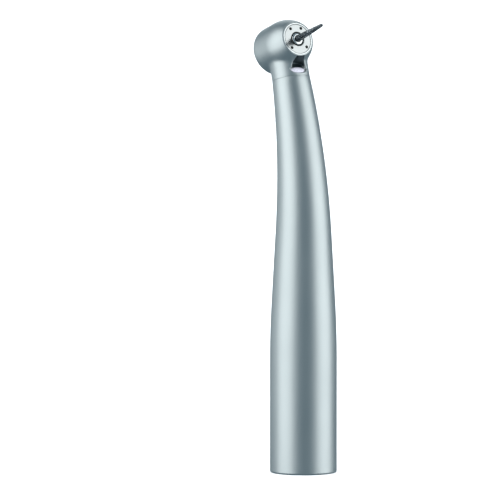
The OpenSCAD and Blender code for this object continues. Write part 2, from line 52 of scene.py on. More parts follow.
# pieces are drawn in millimetres and brought to metres when they are finished
mm = 0.001

# the straight handle stands on its rear end, then leans over in an arc to the short straight neck
handle = {
    "rearRadius": 8.1,
    "seamRadius": 4.575,
    "straight": 33.5,  # length before the taper begins
    "taperPower": 1.05,
    "taperEase": 7.0,  # the taper sets in on a curve, from this far before there to this far past it
    "bendStart": 58.0,
    "bendRadius": 128.0,
    "bendAngle": math.radians(16),
    "neckLength": 10.0,  # from the bend to the head's axis
    "seamDrop": 8.3,  # from the head's axis down to the seam
}
bendLength = handle["bendRadius"] * handle["bendAngle"]
headStation = handle["bendStart"] + bendLength + handle["neckLength"]
seamStation = headStation - handle["seamDrop"]


def axisPoint(station):
    start, radius = handle["bendStart"], handle["bendRadius"]
    lean = min(max((station - start) / radius, 0), handle["bendAngle"])
    past = max(station - start - bendLength, 0)
    across = -radius * (1 - math.cos(lean)) - past * math.sin(lean)
    up = min(station, start) + radius * math.sin(lean) + past * math.cos(lean)
    return Vector((across, 0, up))


def handleRadius(station):
    past, ease = station - handle["straight"], handle["taperEase"]
    if abs(past) < ease:
        past = (past + ease) ** 2 / (4 * ease)
    share = max(past, 0) / (seamStation - handle["straight"])
    narrowing = handle["rearRadius"] - handle["seamRadius"]
    return handle["rearRadius"] - narrowing * share ** handle["taperPower"]


# the turbine's joint gives the bur's axis and the middle of the spray face
spin = next(joint for joint in frame["joints"] if joint["name"] == "turbine_spin")
burAxis = Vector(spin["axis"]).normalized()
faceCentre = Vector(spin["pos_m"]) / mm
headCentre = axisPoint(headStation)


def frameAlong(origin, upward):
    # a frame with Z along the given direction and Y kept level
    side = Vector((0, 1, 0))
    forward = side.cross(upward)
    turn = Matrix((forward, side, upward)).transposed().to_4x4()
    return Matrix.Translation(origin) @ turn


neckAxis = Vector((-math.sin(handle["bendAngle"]), 0, math.cos(handle["bendAngle"])))
headFrame = frameAlong(faceCentre, burAxis)  # x points down to the handle
neckFrame = frameAlong(headCentre, neckAxis)  # x points to the bur's side
handleFrame = Matrix.Identity(4)


def spread(start, end, count):
    return [start + (end - start) * i / count for i in range(count + 1)]


def spreadTurns(start, end, count):
    return [math.radians(angle) for angle in spread(start, end, count)]


def arc(centre, radius, start, end, count):
    # points on a round stretch of an outline, angles in degrees from +X towards +Z
    turns = spreadTurns(start, end, count)
    return [(centre[0] + radius * math.cos(a), centre[1] + radius * math.sin(a)) for a in turns]


def rod(radius, low, high):
    # outline of a plain round rod
    return [(0, low), (radius, low), (radius, high), (0, high)]


def makeActive(piece):
    bpy.ops.object.select_all(action="DESELECT")
    piece.select_set(True)
    bpy.context.view_layer.objects.active = piece


def pickPoints(piece, test):
    mesh = bmesh.from_edit_mesh(piece.data)
    for point in mesh.verts:
        point.select_set(test(point.co))
    mesh.select_flush(True)
    bmesh.update_edit_mesh(piece.data)


def started(name, add, **settings):
    # a new simple shape, selected alone
    bpy.ops.object.select_all(action="DESELECT")
    add(**settings)
    piece = bpy.context.object
    piece.name = name
    return piece


mergeGap = 0.0005  # points closer than this are one
overlap = 0.1  # a cutting tool reaches this far past the face where it comes in or out
clearance = 1.0  # and this far where nothing is near


def closeUp():
    # merges what lies together and points every face outwards
    bpy.ops.mesh.select_all(action="SELECT")
    bpy.ops.mesh.remove_doubles(threshold=mergeGap)
    bpy.ops.mesh.normals_make_consistent(inside=False)


def turned(name, outline, steps=96):
    # as on a lathe: one point is drawn out along the outline, and the line is spun round Z
    piece = started(name, bpy.ops.mesh.primitive_plane_add, size=1)
    bpy.ops.object.mode_set(mode="EDIT")
    bpy.ops.mesh.merge(type="CENTER")
    bpy.ops.transform.translate(value=(outline[0][0], 0, outline[0][1]))
    for (x0, z0), (x1, z1) in zip(outline, outline[1:]):
        bpy.ops.mesh.extrude_region_move(TRANSFORM_OT_translate={"value": (x1 - x0, 0, z1 - z0)})
    bpy.ops.mesh.select_all(action="SELECT")
    bpy.ops.mesh.spin(steps=steps, angle=2 * math.pi, center=(0, 0, 0), axis=(0, 0, 1))
    closeUp()
    bpy.ops.object.mode_set(mode="OBJECT")
    return piece


def moved(piece, place):
    makeActive(piece)
    piece.matrix_world = place @ piece.matrix_world
    bpy.ops.object.transform_apply(location=True, rotation=True, scale=True)
    return piece


def applied(piece, kind, **settings):
    makeActive(piece)
    bpy.ops.object.modifier_add(type=kind)
    step = piece.modifiers[-1]
    for key, value in settings.items():
        setattr(step, key, value)
    bpy.ops.object.modifier_apply(modifier=step.name)
    return piece


def joined(piece, tool, operation):
    applied(piece, "BOOLEAN", operation=operation, object=tool, solver="MANIFOLD")
    bpy.data.objects.remove(tool)
    return piece


def drilled(piece, outline, angles, out):
    # the same hole at each angle round Z, that far out
    for angle in angles:
        place = Matrix.Rotation(math.radians(angle), 4, "Z") @ Matrix.Translation((out, 0, 0))
        joined(piece, moved(turned("drill", outline, 32), place), "DIFFERENCE")
    return piece


def drawnLine(name, places):
    # a curve that runs straight from place to place
    line = bpy.data.curves.new(name, "CURVE")
    line.dimensions = "3D"
    path = line.splines.new("POLY")
    path.points.add(len(places) - 1)
    for point, place in zip(path.points, places):
        point.co = (*place, 1)
    curve = bpy.data.objects.new(name, line)
    bpy.context.collection.objects.link(curve)
    return curve


def smoothed(piece, angle=32):
    makeActive(piece)
    bpy.ops.object.shade_smooth_by_angle(angle=math.radians(angle))
    return piece


def dressed(piece, place, body, slot, *nodes, finish=None):
    # brings a piece to its place in metres, with its slot's finish or one of its own, on its body
    moved(piece, Matrix.Scale(mm, 4) @ place)
    piece.data.materials.clear()
    piece.data.materials.append(finishes[finish or slot])
    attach(piece, body)
    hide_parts(*nodes)
    print("piece", piece.name, "with", len(piece.data.polygons), "faces")
    return piece


def linear(hexColour):
    parts = [int(hexColour[i:i + 2], 16) / 255 for i in (1, 3, 5)]
    return [p / 12.92 if p <= 0.04045 else ((p + 0.055) / 1.055) ** 2.4 for p in parts] + [1.0]


def addNode(tree, kind, links=None, **settings):
    # links: input name or number -> an output socket or a fixed value
    node = tree.nodes.new(kind)
    for key, value in settings.items():
        setattr(node, key, value)
    for key, value in (links or {}).items():
        if isinstance(value, bpy.types.NodeSocket):
            tree.links.new(value, node.inputs[key])
        else:
            node.inputs[key].default_value = value
    return node


def newMaterial(name):
    material = bpy.data.materials.new(name)
    material.use_nodes = True
    material.node_tree.nodes.clear()
    return material, material.node_tree


def closeMaterial(tree, shader):
    addNode(tree, "ShaderNodeOutputMaterial", {"Surface": shader.outputs[0]})


waveLength = math.pi / 10  # of the wave texture at scale 1


def perMm(size):
    # texture scale for a pattern whose cells are that many millimetres wide
    return 1 / (size * mm)


# bead-blasted stainless steel: tiny even dents scatter the light, so it looks satin with soft wide bands
blasted = {
    "colour": "#cdd0ce",
    "roughness": 0.45,
    "roughSpread": 0.015,
    "grainMm": 0.16,  # real dents are about 0.05 mm, drawn coarser so that they show
    "dentMm": 0.012,
    "dentStrength": 0.35,
    "cloudMm": 9.0,  # slow change of the finish over the handle
    "cloudSpan": (0.3, 0.7),  # the part of the noise that counts
    "paintedScoopShade": "#5c6668",  # painted shade: a darker colour for the walls of the light port's scoop, where the recess lies in shade
}


def blastedSteel(name, paintsScoopShade=False):
    material, tree = newMaterial(name)
    place = addNode(tree, "ShaderNodeTexCoord").outputs["Object"]
    colour = linear(blasted["colour"])
    if paintsScoopShade:
        # the piece's own marks say where shade is painted into the steel's colour, on the scoop's walls
        shadeMarks = addNode(tree, "ShaderNodeAttribute", attribute_name="paintedShade")
        colour = addNode(tree, "ShaderNodeMix", {
            "Factor": shadeMarks.outputs["Fac"], 6: colour, 7: linear(blasted["paintedScoopShade"])},
            data_type="RGBA").outputs[2]
    grain = addNode(tree, "ShaderNodeTexNoise", {
        "Vector": place, "Scale": perMm(blasted["grainMm"]), "Detail": 2.0})
    cloud = addNode(tree, "ShaderNodeTexNoise", {
        "Vector": place, "Scale": perMm(blasted["cloudMm"]), "Detail": 3.0})
    (low, high), roughness, change = blasted["cloudSpan"], blasted["roughness"], blasted["roughSpread"]
    rough = addNode(tree, "ShaderNodeMapRange", {
        "Value": cloud.outputs["Fac"], "From Min": low, "From Max": high,
        "To Min": roughness - change, "To Max": roughness + change})
    bump = addNode(tree, "ShaderNodeBump", {
        "Height": grain.outputs["Fac"], "Strength": blasted["dentStrength"],
        "Distance": blasted["dentMm"] * mm})
    shader = addNode(tree, "ShaderNodeBsdfPrincipled", {
        "Base Color": colour, "Metallic": 1.0,
        "Roughness": rough.outputs["Result"], "Normal": bump.outputs["Normal"]})
    closeMaterial(tree, shader)
    return material


patchSpan = (0.35, 0.65)  # the part of the patches' noise that counts
patchChange = 0.15  # of the roughness, from patch to patch
skinMm = 0.01  # height of the fine marks on a surface
skinStrength = 0.15  # of the marks that a mould leaves


def turnedMetal(name, look, toAxis):
    # a lathe or a grinder leaves fine rings round the axis, which draw the light out into a fan
    material, tree = newMaterial(name)
    place = addNode(tree, "ShaderNodeTexCoord").outputs["Object"]
    # the rings are centred on the axis of the piece
    place = addNode(tree, "ShaderNodeMapping", {
        "Vector": place, "Location": toAxis.translation * mm,
        "Rotation": toAxis.to_euler()}).outputs["Vector"]
    rings = addNode(tree, "ShaderNodeTexWave", {
        "Vector": place, "Scale": perMm(look["ringMm"]) * waveLength,
        "Distortion": 0.6, "Detail": 1.0}, wave_type="RINGS", rings_direction="Z")
    patch = addNode(tree, "ShaderNodeTexNoise", {
        "Vector": place, "Scale": perMm(look["patchMm"]), "Detail": 3.0})
    share = addNode(tree, "ShaderNodeMapRange", {
        "Value": patch.outputs["Fac"], "From Min": patchSpan[0],
        "From Max": patchSpan[1]}).outputs["Result"]
    colour = linear(look["colour"])
    if "stainBetweenPaintedGlints" in look:
        # darker in patches: stains, with the brighter patches between them painted as glints of the ground flats
        colour = addNode(tree, "ShaderNodeMix", {
            "Factor": share, 6: colour, 7: linear(look["stainBetweenPaintedGlints"])}, data_type="RGBA").outputs[2]
    rough = addNode(tree, "ShaderNodeMapRange", {
        "Value": share, "To Min": look["roughness"] * (1 - patchChange),
        "To Max": look["roughness"] * (1 + patchChange)})
    bump = addNode(tree, "ShaderNodeBump", {
        "Height": rings.outputs["Fac"], "Strength": look["ringDepth"], "Distance": skinMm * mm})
    shader = addNode(tree, "ShaderNodeBsdfPrincipled", {
        "Base Color": colour, "Metallic": 1.0,
        "Roughness": rough.outputs["Result"], "Normal": bump.outputs["Normal"]})
    closeMaterial(tree, shader)
    return material


def mouldedMaterial(name, look):
    # moulded or fired parts: an even body colour with a faint mottle and a fine skin
    material, tree = newMaterial(name)
    place = addNode(tree, "ShaderNodeTexCoord").outputs["Object"]
    mottle = addNode(tree, "ShaderNodeTexNoise", {
        "Vector": place, "Scale": perMm(look["mottleMm"]), "Detail": 4.0})
    shade = addNode(tree, "ShaderNodeMix", {
        "Factor": mottle.outputs["Fac"], 6: linear(look["dark"]), 7: linear(look["light"])},
        data_type="RGBA")
    bump = addNode(tree, "ShaderNodeBump", {
        "Height": mottle.outputs["Fac"], "Strength": skinStrength, "Distance": skinMm * mm})
    shader = addNode(tree, "ShaderNodeBsdfPrincipled", {
        "Base Color": shade.outputs[2], "Roughness": look["roughness"], "IOR": look["ior"],
        "Normal": bump.outputs["Normal"]})
    closeMaterial(tree, shader)
    return material


# the slots of the record and the spray plate, each with the finish that its real material has;
# real tool marks are 0.02 to 0.05 mm apart, drawn coarser so that they show
turnedLooks = {
    # buffed after turning: it mirrors the soft boxes, with a faint fan from the last rings
    "polished_steel": {"name": "polishedStainlessSteel", "colour": "#e9e8e5", "roughness": 0.17,
                       "ringMm": 0.3, "ringDepth": 0.10, "patchMm": 0.8},
    # faced on the lathe and lightly buffed: pale and glossy, with fine rings round the bur
    "plate": {"name": "facedStainlessSteel", "colour": "#c4c3c0", "roughness": 0.2,
              "ringMm": 0.3, "ringDepth": 0.12, "patchMm": 0.8},
    # turned and left so: the rings draw each highlight out into a soft fan
    "cap_steel": {"name": "turnedStainlessSteel", "colour": "#c2ccd0", "roughness": 0.27,
                  "ringMm": 0.25, "ringDepth": 0.25, "patchMm": 1.5},
    # hardened and ground: a hard, clear mirror
    "bearing_steel": {"name": "groundBearingSteel", "colour": "#b5bcc0", "roughness": 0.14,
                      "ringMm": 0.15, "ringDepth": 0.08, "patchMm": 0.8},
    # drawn through a die and rolled: smooth, a little grey
    "spring_steel": {"name": "drawnSpringSteel", "colour": "#a9afb2", "roughness": 0.28,
                     "ringMm": 0.1, "ringDepth": 0.1, "patchMm": 0.5},
    # turned and dyed when anodised: a warm satin gold
    "impeller_aluminium": {"name": "goldAnodisedAluminium", "colour": "#c9ad68", "roughness": 0.33,
                           "ringMm": 0.2, "ringDepth": 0.2, "patchMm": 1.0},
    # hardened and ground: greyer than the bright steels, with a tight shine
    "chuck_steel": {"name": "hardenedChuckSteel", "colour": "#a5a8a8", "roughness": 0.25,
                    "ringMm": 0.15, "ringDepth": 0.15, "patchMm": 0.8},
    # ground round and tarnished: dark grey, with a thin line of light along it
    "shank_steel": {"name": "groundShankSteel", "colour": "#6b7073", "roughness": 0.3,
                    "ringMm": 0.12, "ringDepth": 0.2, "patchMm": 0.5},
    # ground blades: bright edges and brighter patches painted as glints, with dark metal and stains in patches
    # between them
    "carbide": {"name": "groundTungstenCarbide", "colour": "#b4b7b8", "stainBetweenPaintedGlints": "#36393c",
                "roughness": 0.26, "ringMm": 0.1, "ringDepth": 0.2, "patchMm": 0.45},
    # drawn tube: smooth and even, with a long soft shine
    "tube_steel": {"name": "drawnSteelTube", "colour": "#b4bbbf", "roughness": 0.25,
                   "ringMm": 0.3, "ringDepth": 0.05, "patchMm": 2.0},
    # turned, then anodised without a dye: a pale matt grey
    "core_aluminium": {"name": "clearAnodisedAluminium", "colour": "#b3bcc0", "roughness": 0.36,
                       "ringMm": 0.3, "ringDepth": 0.25, "patchMm": 2.5},
}
mouldedLooks = {
    # sintered and lapped: nearly black, with small hard highlights
    "ceramic": {"name": "polishedNitrideCeramic", "dark": "#3b3c3d", "light": "#4a4b4c",
                "roughness": 0.12, "ior": 2.0, "mottleMm": 0.2},
    # fabric-filled resin, machined: brown, with a slight mottle
    "cage_resin": {"name": "phenolicResin", "dark": "#8a5c28", "light": "#b27b3c",
                   "roughness": 0.45, "ior": 1.55, "mottleMm": 0.3},
    # moulded: a soft, dull black
    "seal_rubber": {"name": "nitrileRubber", "dark": "#17181a", "light": "#232527",
                    "roughness": 0.55, "ior": 1.52, "mottleMm": 0.25},
    # drawn fibres fused in a bundle: milky white with a gloss
    "fibre_glass": {"name": "bundledGlassFibre", "dark": "#cfd6da", "light": "#eef2f4",
                    "roughness": 0.2, "ior": 1.52, "mottleMm": 0.12},
}

# polished end of a fused glass rod: bright and faintly violet, with fine cells below the gloss
lensLook = {
    "dark": "#bfbccd",
    "light": "#eae8f1",
    "fibreMm": 0.3,  # real fibres are about 0.05 mm, drawn coarser so that they show
    "roughness": 0.08,
    "ior": 1.52,
    "coat": 0.5,
    "coatRoughness": 0.03,
}


def lensGlass():
    material, tree = newMaterial("polishedGlassRod")
    place = addNode(tree, "ShaderNodeTexCoord").outputs["Object"]
    fibres = addNode(tree, "ShaderNodeTexVoronoi", {
        "Vector": place, "Scale": perMm(lensLook["fibreMm"])})
    shade = addNode(tree, "ShaderNodeMix", {
        "Factor": fibres.outputs["Distance"], 6: linear(lensLook["light"]), 7: linear(lensLook["dark"])},
        data_type="RGBA")
    shader = addNode(tree, "ShaderNodeBsdfPrincipled", {
        "Base Color": shade.outputs[2], "Roughness": lensLook["roughness"], "IOR": lensLook["ior"],
        "Coat Weight": lensLook["coat"], "Coat Roughness": lensLook["coatRoughness"]})
    closeMaterial(tree, shader)
    return material


finishes = {
    "satin_steel": blastedSteel("blastedStainlessSteel"),
    # the head's finish paints shade into the walls of its scoop
    "head": blastedSteel("blastedSteelWithPaintedShade", paintsScoopShade=True),
    "lens_glass": lensGlass(),
}
rearSlots = ("core_aluminium", "tube_steel")  # their rings lie round the handle's axis
for slotName, look in turnedLooks.items():
    axisFrame = handleFrame if slotName in rearSlots else headFrame
    finishes[slotName] = turnedMetal(look["name"], look, axisFrame.inverted())
for slotName, look in mouldedLooks.items():
    finishes[slotName] = mouldedMaterial(look["name"], look)
print("materials made:", len(finishes))

# every solid of the frame takes the finish of its own slot
for part in frame["record"]["subparts"]:
    solid = frame["nodes"][part["node"]]
    solid.data.materials.clear()
    solid.data.materials.append(finishes[part["material_slot"]])

# outer sleeve: turned straight, then bent along the handle's line
sleeve = {"wall": 0.55, "rearRound": 0.5, "seamRound": 0.05, "seamGap": 0.015,
          "rings": 60, "sides": 144, "bendSteps": 90}


def makeSleeve():
    radius, wall, edge = handle["rearRadius"], sleeve["wall"], sleeve["rearRound"]
    seam = seamStation - sleeve["seamGap"]
    corner = sleeve["seamRound"]
    stations = spread(handle["straight"] - handle["taperEase"], seam - corner, sleeve["rings"])
    tip = handleRadius(seam)
    outline = arc((radius - edge, edge), edge, -90, 0, 8)
    outline += [(handleRadius(s), s) for s in stations]
    outline += arc((tip - corner, seam - corner), corner, 0, 90, 4)[1:]
    outline += [(tip - wall, seam)]
    outline += [(handleRadius(s) - wall, s) for s in reversed(stations)]
    outline += [(radius - wall, 0), outline[0]]
    piece = turned("handleSleeve", outline, sleeve["sides"])
    bend = [0.0] + spread(handle["bendStart"], headStation, sleeve["bendSteps"])
    line = drawnLine("handleLine", [axisPoint(station) for station in bend])
    applied(piece, "CURVE", object=line, deform_axis="POS_Z")
    bpy.data.objects.remove(line)
    return smoothed(piece)


dressed(makeSleeve(), handleFrame, "handle", "satin_steel", "handle_sleeve")

# head: a barrel across the end of the neck, blended into it, hollowed from the face and the rear
head = {
    "radius": 6.05,
    "length": 11.6,
    "rimRadius": 4.3,
    "shoulder": 5.4,  # length of the rounded front
    "rearRadius": 5.0,
    "rearRound": 1.6,  # length of the rounded rear edge
    "frontRound": 0.3,  # between the rim and the rounded front
    "grid": 0.12,  # cell of the mesh that the blended form is drawn on
    "evenRounds": (10, 12),  # smoothing of that mesh, before and after the scoop is cut
    "blendReach": 2.6,
    "blendBack": 0.35,  # share of the reach at the back
    "blendFore": (-3.0, 0.5),  # forward places between which the blend widens
    "blendRounds": 200,
    "spigotRadius": 3.945,
    "spigotLength": 3.4,
    "neckBore": 3.45,
    "neckBoreDrop": 7.2,
    # from the bore to the turbine and to the lens: forward and side place, radius and length
    "ways": ((0.2, 2.9, 0.75, 4.6), (0.2, -2.5, 1.1, 4.6), (2.3, 0, 0.95, 1.2)),
    "wayStart": 0.3,  # each begins this far inside the bore
}
rearEnd = -head["length"]
# what is turned out of the head, from the face to the rear: radii, and heights from the face
hollow = {
    "before": (5.6, 1.2),  # cut away in front of the face
    "plateBack": -0.9,
    "waterRing": (2.6, 3.3),  # groove that feeds the spray holes
    "waterBack": -1.4,
    "spindle": 2.0,
    "bearing": 3.25,
    "bearingFront": -1.7,
    "rubberRing": 3.85,
    "rubberRun": (-2.66, -3.56),
    "wheel": 4.6,
    "wheelFront": -4.3,
    "cap": 4.75,
    "capFront": rearEnd + 4.65,
}
# the rim round the spray face is a polished ring of its own
rim = {"inside": 3.72, "outside": 4.01, "depth": 0.32, "corner": 0.06, "gap": 0.01}
# light port: the lens looks up at the bur out of a scoop under the rim
port = {
    "forward": 3.4, "drop": 6.85, "lensTilt": 60,
    "lensHalf": (0.92, 2.0), "lensDepth": 0.5, "crown": 0.2, "setBack": 0.02,
    "lensBevel": (0.03, 0.06),  # share of the half width, and height
    "lensGap": 0.03, "floorGap": 0.02,
    "recessHeight": 1.8, "recessFlare": 1.5, "recessTop": -0.25,
    "scoopForward": 2.58, "scoopDrop": 7.08, "scoopTilt": 58,
    "scoopRadius": 2.2, "scoopNarrowing": 0.17,  # less radius for each mm of its length
    "scoopRun": (-2.0, 5.5), "scoopFront": -0.14,
}
# painted shade darkens the walls of the scoop: the distances over which it comes up
paintedShade = {"offWall": (0.2, 0.02), "aboveLens": (0.4, 1.2), "behindFront": (0.1, -0.05)}
shoulderDrop = head["radius"] - head["rimRadius"]
shoulderRadius = (head["shoulder"] ** 2 + shoulderDrop ** 2) / (2 * shoulderDrop)


def onNeck(forward, drop, tilt):
    # a frame on the bur's side of the neck, tilted towards the bur
    place = neckFrame @ Matrix.Translation((forward, 0, -drop))
    return place @ Matrix.Rotation(math.radians(tilt), 4, "Y")


lensFrame = onNeck(port["forward"], port["drop"], port["lensTilt"])
scoopFrame = onNeck(port["scoopForward"], port["scoopDrop"], port["scoopTilt"])


def shoulderPoint(depth):
    # place on the rounded front, at a height in front of the face
    rise = depth + head["shoulder"]
    return head["radius"] - shoulderRadius + math.sqrt(shoulderRadius ** 2 - rise ** 2), depth


def makeBarrel():
    past = 0.6  # drawn past the face and cut back to it later
    turns = spreadTurns(0, 90, 12)
    outline = [(0, past)] + [shoulderPoint(z) for z in spread(past, -head["shoulder"], 24)]
    outline += [(head["rearRadius"] + (head["radius"] - head["rearRadius"]) * math.cos(a),
                 rearEnd + head["rearRound"] * (1 - math.sin(a))) for a in turns]
    outline += [(0, rearEnd)]
    return moved(turned("headShell", outline, 160), headFrame)


def makeNeck():
    # drawn at full width past the seam, and cut back to the spigot later
    foot = -handle["seamDrop"] - head["spigotLength"]
    return moved(turned("neck", rod(handle["seamRadius"], foot, 0), 128), neckFrame)


def scoopRadius(station):
    return port["scoopRadius"] - port["scoopNarrowing"] * station


def overLens(gap):
    # stretches a round piece to the oval of the lens
    half = port["lensHalf"]
    return lensFrame @ Matrix.Diagonal((half[0] + gap, half[1] + gap, 1, 1))


def makeRecess():
    # the oval seat of the lens opens wider towards the outside
    half, flare = port["lensHalf"], port["recessFlare"]
    recess = started("recess", bpy.ops.mesh.primitive_circle_add, vertices=96, radius=1, fill_type="NGON")
    bpy.ops.object.mode_set(mode="EDIT")
    bpy.ops.transform.resize(value=(half[0], half[1], 1))
    bpy.ops.mesh.extrude_region_move(TRANSFORM_OT_translate={"value": (0, 0, port["recessHeight"])})
    bpy.ops.transform.resize(value=(1 + flare / half[0], 1 + flare / half[1], 1))
    # only its lower part, because the scoop opens the upper one
    bpy.ops.mesh.select_all(action="SELECT")
    bpy.ops.mesh.bisect(
        plane_co=(port["recessTop"], 0, 0), plane_no=(1, 0, 0), use_fill=True, clear_inner=True)
    closeUp()
    bpy.ops.object.mode_set(mode="OBJECT")
    return moved(recess, lensFrame)


def makeScoop():
    # a narrowing channel over the upper half of the lens, which ends behind the rim
    start, end = port["scoopRun"]
    outline = [(0, start), (scoopRadius(start), start), (scoopRadius(end), end), (0, end)]
    channel = moved(turned("scoop", outline), scoopFrame)
    far = 12  # past the channel on every side
    for name, turn in (("behindLens", 180), ("underLens", 90)):
        place = lensFrame @ Matrix.Rotation(math.radians(turn), 4, "Y")
        joined(channel, moved(turned(name, rod(far, 0, far), 32), place), "DIFFERENCE")
    joined(channel, makeRecess(), "UNION")
    before = turned("beforeScoop", rod(far, port["scoopFront"], far), 32)
    return joined(channel, moved(before, headFrame), "DIFFERENCE")


def makeSpigotTool():
    # the ring outside the spigot, with the rounded lower edge of the neck
    low, edge = -handle["seamDrop"], sleeve["seamRound"]
    foot = low - head["spigotLength"] - clearance
    out = handle["seamRadius"] + 2 * clearance
    outline = [(head["spigotRadius"], foot), (out, foot), (out, low + edge)]
    outline += arc((handle["seamRadius"] - edge, low + edge), edge, 0, -90, 4)
    outline += [(head["spigotRadius"], low), (head["spigotRadius"], foot)]
    return moved(turned("outsideSpigot", outline, 128), neckFrame)


def evened(piece, rounds):
    # draws the whole form on one even grid
    applied(piece, "REMESH", mode="VOXEL", voxel_size=head["grid"], adaptivity=0)
    return applied(piece, "SMOOTH", factor=0.5, iterations=rounds)


def shareOf(value, start, end):
    return min(max((value - start) / (end - start), 0), 1)


def blendJoint(piece):
    # softens the crease between barrel and neck, wide on the bur's side and close at the back
    toHead, toNeck, back = headFrame.inverted(), neckFrame.inverted(), head["blendBack"]
    group = piece.vertex_groups.new(name="joint")
    for point in piece.data.vertices:
        headPlace, neckPlace = toHead @ point.co, toNeck @ point.co
        onShoulder = headPlace.z > -head["shoulder"]
        radius = shoulderPoint(headPlace.z)[0] if onShoulder else head["radius"]
        offBarrel = abs(math.hypot(headPlace.x, headPlace.y) - radius)
        offNeck = abs(math.hypot(neckPlace.x, neckPlace.y) - handle["seamRadius"])
        fore = shareOf(neckPlace.x, *head["blendFore"])
        near = 1 - max(offBarrel, offNeck) / (head["blendReach"] * (back + (1 - back) * fore))
        if near > 0 and neckPlace.z < 0:
            group.add([point.index], min(1, 2 * near), "REPLACE")
    applied(piece, "SMOOTH", factor=0.5, iterations=head["blendRounds"], vertex_group=group.name)
    piece.vertex_groups.clear()


def makeHollow():
    # seats of the rim, the spray plate, both bearings, the turbine wheel and the rear cap
    foot, edge, back = -rim["depth"], head["frontRound"], rearEnd - clearance
    (waterIn, waterOut), plateBack = hollow["waterRing"], hollow["plateBack"]
    bearing, (ringFront, ringBack) = hollow["bearing"], hollow["rubberRun"]
    outline = [(0, hollow["before"][1]), hollow["before"]]
    outline += arc((rim["outside"], -edge), edge, 35, 90, 6)
    outline += [(rim["outside"], foot), (rim["inside"], foot), (rim["inside"], plateBack),
                (waterOut, plateBack), (waterOut, hollow["waterBack"]), (waterIn, hollow["waterBack"]),
                (waterIn, plateBack), (hollow["spindle"], plateBack),
                (hollow["spindle"], hollow["bearingFront"]), (bearing, hollow["bearingFront"]),
                (bearing, ringFront), (hollow["rubberRing"], ringFront), (hollow["rubberRing"], ringBack),
                (bearing, ringBack), (bearing, hollow["wheelFront"]),
                (hollow["wheel"], hollow["wheelFront"]), (hollow["wheel"], hollow["capFront"]),
                (hollow["cap"], hollow["capFront"]), (hollow["cap"], back), (0, back)]
    return moved(turned("hollow", outline, 160), headFrame)


def makeHead():
    before, after = head["evenRounds"]
    piece = evened(joined(makeBarrel(), makeNeck(), "UNION"), before)
    blendJoint(piece)
    evened(joined(piece, makeScoop(), "DIFFERENCE"), after)
    joined(piece, makeHollow(), "DIFFERENCE")
    joined(piece, makeSpigotTool(), "DIFFERENCE")
    low, high = -handle["seamDrop"] - head["spigotLength"] - clearance, -head["neckBoreDrop"]
    bore = turned("neckBore", rod(head["neckBore"], low, high))
    joined(piece, moved(bore, neckFrame), "DIFFERENCE")
    start = high - head["wayStart"]
    for forward, aside, radius, length in head["ways"]:
        way = turned("way", rod(radius, start, start + length), 48)
        place = neckFrame @ Matrix.Translation((forward, aside, 0))
        joined(piece, moved(way, place), "DIFFERENCE")
    seat = turned("lensSeat", rod(1, -port["lensDepth"] - port["floorGap"], overlap), 64)
    joined(piece, moved(seat, overLens(port["lensGap"])), "DIFFERENCE")
    return smoothed(piece)


def eased(value, start, end):
    share = shareOf(value, start, end)
    return share * share * (3 - 2 * share)


def paintScoopShade(piece):
    # paints shade into the scoop's walls; it fades to bare steel at the edges of the scoop and round the lens
    inMm = Matrix.Scale(1 / mm, 4)
    toScoop, toLens, toHead = [place.inverted() @ inMm for place in (scoopFrame, lensFrame, headFrame)]
    shadeMarks = piece.data.attributes.new("paintedShade", "FLOAT", "POINT")
    for point, shadeMark in zip(piece.data.vertices, shadeMarks.data):
        place = toScoop @ point.co
        onWall = eased(math.hypot(place.x, place.y) - scoopRadius(place.z), *paintedShade["offWall"])
        aboveLens = eased(-(toLens @ point.co).x, *paintedShade["aboveLens"])
        behindFront = eased((toHead @ point.co).z - port["scoopFront"], *paintedShade["behindFront"])
        shadeMark.value = onWall * aboveLens * behindFront if place.z > port["scoopRun"][0] else 0


# the head, with shade painted on the walls of its scoop
paintScoopShade(dressed(makeHead(), handleFrame, "handle", "satin_steel", "head_housing", finish="head"))


def makeRim():
    foot, corner, outside = -rim["depth"], rim["corner"], rim["outside"] - rim["gap"]
    outline = [(rim["inside"], foot), (outside, foot)]
    outline += arc((outside - corner, -corner), corner, 0, 90, 4)
    outline += arc((rim["inside"] + corner, -corner), corner, 90, 180, 4)
    return smoothed(turned("faceRim", outline + outline[:1], 160))


dressed(makeRim(), headFrame, "handle", "polished_steel", "head_housing")

# spray plate in the face, with two holes towards the handle and two away from it
plate = {"radius": 3.68, "hole": 1.76, "front": -0.05, "chamfer": 0.14,
         "sprayCircle": 3.0, "sprayHole": 0.4, "countersink": 0.1, "sprayAngles": (45, -45, 150, -150)}


def makePlate():
    edge, front, back = plate["chamfer"], plate["front"], hollow["plateBack"]
    outline = [(plate["hole"], back), (plate["radius"], back)]
    outline += arc((plate["radius"] - edge, front - edge), edge, 0, 90, 4)
    outline += arc((plate["hole"] + edge, front - edge), edge, 90, 180, 4)
    piece = turned("sprayPlate", outline + outline[:1], 160)
    hole, low = plate["sprayHole"], back - overlap
    drill = [(0, overlap), (hole + plate["countersink"], overlap), (hole, front), (hole, low), (0, low)]
    return smoothed(drilled(piece, drill, plate["sprayAngles"], plate["sprayCircle"]))


dressed(makePlate(), headFrame, "handle", "polished_steel", "spray_plate", finish="plate")

# spindle: its polished nose shows in the middle of the plate
spindle = {"nose": 1.47, "noseFront": 0.16, "noseRound": 0.3, "noseBack": -1.25,
           "radius": 1.585, "front": -1.5, "back": rearEnd + 2.1,
           "shankHole": 0.86, "chuckBore": 1.15, "chuckFront": -1.6, "chuckEnd": rearEnd + 3.5,
           "plungerHole": 0.66, "springBore": 1.25, "springSeat": rearEnd + 2.9}


